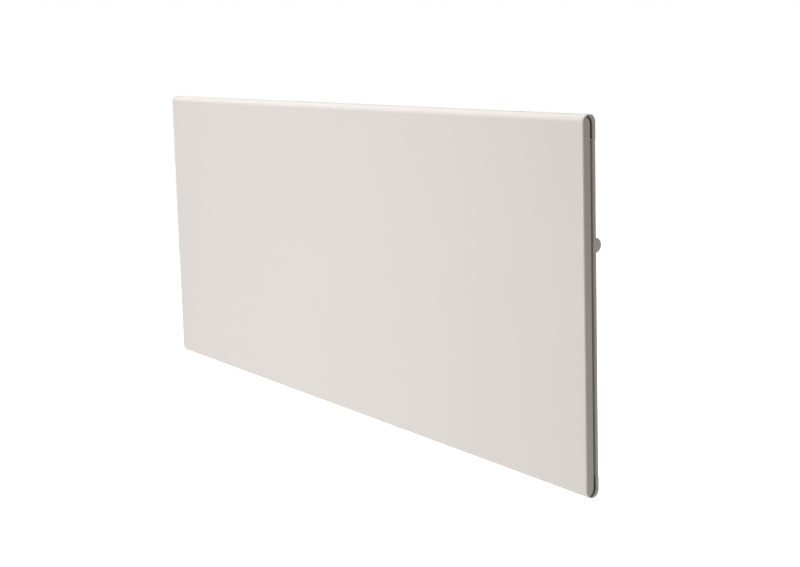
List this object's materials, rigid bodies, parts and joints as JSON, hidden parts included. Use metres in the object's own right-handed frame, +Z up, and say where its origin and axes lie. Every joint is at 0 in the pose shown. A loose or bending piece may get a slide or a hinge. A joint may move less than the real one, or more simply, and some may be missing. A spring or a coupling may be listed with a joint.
{
  "type": "convector heater",
  "caption": "Slim wall-hung electric convector heater with a folded white front cover, an air casing behind it, a side thermostat knob and a lift-off wall bracket.",
  "frame": {"origin": "centre of the wall bracket's four screw slots, on the wall plane", "axes": "+X to the right along the width seen from the room, +Y from the room towards the wall, +Z up; the wall is the plane y = 0 and the front faces -Y"},
  "size_m": [0.875, 0.084, 0.4],
  "materials": {
    "cover_enamel": "satin white powder coat",
    "rear_enamel": "satin white powder coat",
    "galvanised_steel": "dull galvanised sheet",
    "zinc_screws": "bright zinc plating",
    "bracket_steel": "dull galvanised sheet",
    "reflector_foil": "bright rolled aluminium",
    "fin_aluminium": "mill finish",
    "plate_aluminium": "anodised, bare",
    "element_sheath": "heat-tinted steel",
    "ceramic": "glazed",
    "brass": "plain",
    "black_resin": "matt",
    "thermostat_resin": "matt",
    "dial_plastic": "satin",
    "knob_plastic": "satin white",
    "spindle_steel": "turned",
    "acetal": "satin",
    "block_nylon": "matt",
    "lead_brown": "smooth",
    "lead_black": "smooth",
    "lead_blue": "smooth",
    "lead_green_yellow": "smooth",
    "black_nylon": "satin",
    "black_rubber": "matt"
  },
  "bodies": {
    "wall_bracket": {"bracket_rail_left": "bracket_steel", "bracket_rail_right": "bracket_steel", "bracket_crossbar_upper": "bracket_steel", "bracket_crossbar_lower": "bracket_steel", "bracket_rivets": "zinc_screws", "bracket_pads": "black_rubber"},
    "heater": {"front_cover": "cover_enamel", "back_panel": "rear_enamel", "rear_casing": "rear_enamel", "outlet_grille": "rear_enamel", "inlet_grille": "rear_enamel", "stiffener_left": "galvanised_steel", "stiffener_right": "galvanised_steel", "partition": "galvanised_steel", "cutout_shelf": "galvanised_steel", "element_bracket_left": "galvanised_steel", "element_bracket_right": "galvanised_steel", "cover_screws": "zinc_screws", "casing_screws": "zinc_screws", "grille_screws": "zinc_screws", "element_screws": "zinc_screws", "thermostat_nut": "zinc_screws", "reflector": "reflector_foil", "heating_fins": "fin_aluminium", "rating_plate": "plate_aluminium", "heating_tube": "element_sheath", "ceramic_bushes": "ceramic", "element_terminals": "brass", "thermostat_contacts": "brass", "contact_leaf": "brass", "terminal_screws": "brass", "earth_stud": "brass", "thermal_cutout": "black_resin", "thermostat_housing": "thermostat_resin", "thermostat_cover": "thermostat_resin", "dial_ring": "dial_plastic", "terminal_block": "block_nylon", "live_lead": "lead_brown", "switched_lead": "lead_black", "cutout_lead": "lead_black", "neutral_lead": "lead_blue", "earth_lead": "lead_green_yellow", "cable_gland": "black_nylon", "gland_locknut": "black_nylon", "gland_cap": "black_nylon", "lead_grommet": "black_rubber"},
    "knob": {"thermostat_knob": "knob_plastic", "thermostat_spindle": "spindle_steel", "setting_cam": "acetal"},
    "follower": {"cam_follower": "acetal"}
  },
  "joints": [
    {"name": "lift_off", "type": "slide", "parent": "wall_bracket", "child": "heater", "axis": [0, -0.7071, 0.7071], "range_m": [0, 0.12]},
    {"name": "knob_turn", "type": "hinge", "parent": "heater", "child": "knob", "pos_m": [0.4, -0.0438, 0.06], "axis": [-1, 0, 0], "range_deg": [0, 270]},
    {"name": "follower_slide", "type": "slide", "parent": "heater", "child": "follower", "axis": [0, 0, -1], "range_m": [0, 0.003]}
  ],
  "couplings": [
    {"joint": "knob_turn", "follows": "follower_slide", "rad_per_m": 1570.8}
  ]
}
